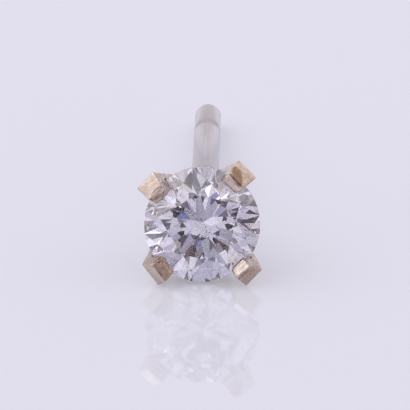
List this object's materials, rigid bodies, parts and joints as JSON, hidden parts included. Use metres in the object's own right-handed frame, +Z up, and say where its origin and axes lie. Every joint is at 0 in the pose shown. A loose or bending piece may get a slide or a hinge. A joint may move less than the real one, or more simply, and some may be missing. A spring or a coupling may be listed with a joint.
{
  "type": "stud earring",
  "caption": "Stud earring lying at rest: a clear round brilliant stone in a leaning square-claw setting with a gallery ring, base cup and straight notched ear post.",
  "frame": {"origin": "on the table that the earring lies on, under the middle of its outline from above", "axes": "+Z up from the table, +Y back along the run of the ear post, +X to the right for someone facing the stone, which faces -Y"},
  "size_m": [0.0036, 0.0138, 0.0038],
  "materials": {
    "white_gold": "worn champagne-toned white gold, filed at the claw tips and paler on the post",
    "clear_stone": "polished facets, with a few fine inclusions"
  },
  "bodies": {
    "root": {"claw_setting": "white_gold", "stone": "clear_stone"}
  },
  "joints": []
}
